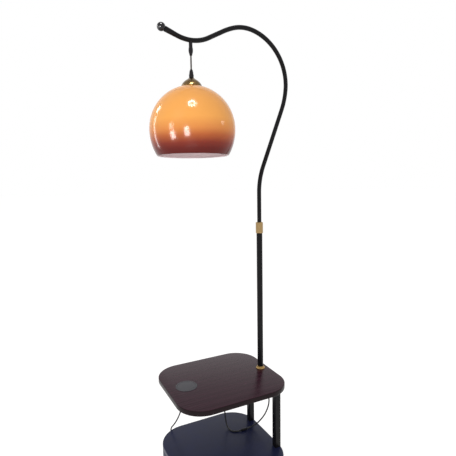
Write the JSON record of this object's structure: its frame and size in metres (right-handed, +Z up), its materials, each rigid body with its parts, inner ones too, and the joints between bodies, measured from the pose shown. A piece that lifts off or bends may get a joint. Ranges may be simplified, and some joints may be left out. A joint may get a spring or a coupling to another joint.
{
  "type": "floor lamp with side table",
  "caption": "Floor lamp whose swan-neck pole rises from a rounded side table on a drawer cabinet, with a hanging glass shade and a charging pad.",
  "frame": {"origin": "middle of the plinth's underside, on the floor, under the middle of the tabletop", "axes": "+X along the table towards the pole, +Y towards the back, +Z up"},
  "size_m": [0.4601, 0.4735, 1.6349],
  "materials": {
    "cabinet_paint": "satin",
    "board_black": "matt",
    "drawer_wood": "satin",
    "black_steel": "satin",
    "zinc_steel": "satin",
    "brass": "polished",
    "bronze": "satin",
    "table_wood": "semi-gloss",
    "pad_rubber": "matt",
    "black_plastic": "satin",
    "white_plastic": "gloss",
    "copper": "matt",
    "circuit": "satin",
    "amber_glass": "gloss",
    "bulb_glass": "opal",
    "cord_rubber": "matt"
  },
  "bodies": {
    "stand": {"plinth": "board_black", "cabinet_bottom": "board_black", "cabinet_skin": "cabinet_paint", "cabinet_top_board": "cabinet_paint", "cabinet_uprights": "board_black", "cabinet_divider": "board_black", "drawer_slides_fixed": "zinc_steel", "front_post": "black_steel", "back_post": "black_steel", "post_plugs": "zinc_steel", "post_bolts": "zinc_steel", "table_bracket": "black_steel", "bracket_screws": "zinc_steel", "tabletop": "table_wood", "charger_pad": "pad_rubber", "charger_housing": "black_plastic", "charger_coil": "copper", "charger_board": "circuit", "charger_ring_nut": "black_plastic", "cord_reliefs": "black_plastic", "foot_collar": "brass", "pole": "black_steel", "pole_insert": "zinc_steel", "pole_stem": "zinc_steel", "stem_washer": "zinc_steel", "stem_nut": "zinc_steel", "neck_bush": "white_plastic", "ferrule": "brass", "cord_clip": "white_plastic", "lamp_lead": "cord_rubber", "lead_connector": "black_plastic", "supply_lead": "cord_rubber", "supply_coil": "cord_rubber", "supply_tail": "cord_rubber", "line_switch": "black_plastic", "plug": "black_plastic"},
    "upper_drawer": {"upper_drawer_front": "cabinet_paint", "upper_drawer_box": "drawer_wood", "upper_drawer_base": "drawer_wood", "upper_drawer_knob": "brass", "upper_drawer_slides": "zinc_steel"},
    "lower_drawer": {"lower_drawer_front": "cabinet_paint", "lower_drawer_box": "drawer_wood", "lower_drawer_base": "drawer_wood", "lower_drawer_knob": "brass", "lower_drawer_slides": "zinc_steel"},
    "swan_neck": {"neck": "black_steel", "finial_sleeve": "black_steel", "ball_finial": "black_steel", "upper_cord_grip": "black_plastic"},
    "pendant": {"pendant_cord": "cord_rubber", "lower_cord_grip": "black_plastic", "shade_nipple": "zinc_steel", "shade_cap": "bronze", "shade": "amber_glass", "shade_ring": "black_plastic", "lampholder": "black_plastic", "bulb_cap": "zinc_steel", "bulb_dome": "bulb_glass"},
    "rocker": {"switch_rocker": "black_plastic"}
  },
  "joints": [
    {"name": "upper_drawer_slide", "type": "slide", "parent": "stand", "child": "upper_drawer", "axis": [0, -1, 0], "range_m": [0, 0.19]},
    {"name": "lower_drawer_slide", "type": "slide", "parent": "stand", "child": "lower_drawer", "axis": [0, -1, 0], "range_m": [0, 0.19]},
    {"name": "neck_swivel", "type": "hinge", "parent": "stand", "child": "swan_neck", "pos_m": [0.15, 0, 1], "axis": [0, 0, 1], "range_deg": [-90, 90]},
    {"name": "pendant_swing", "type": "hinge", "parent": "swan_neck", "child": "pendant", "pos_m": [-0.07475, 0, 1.52738], "axis": [0, 1, 0], "range_deg": [-15, 15]},
    {"name": "switch_rock", "type": "hinge", "parent": "stand", "child": "rocker", "pos_m": [-0.052, 0.206, 0.015], "axis": [0, 1, 0], "range_deg": [-14, 0]}
  ]
}
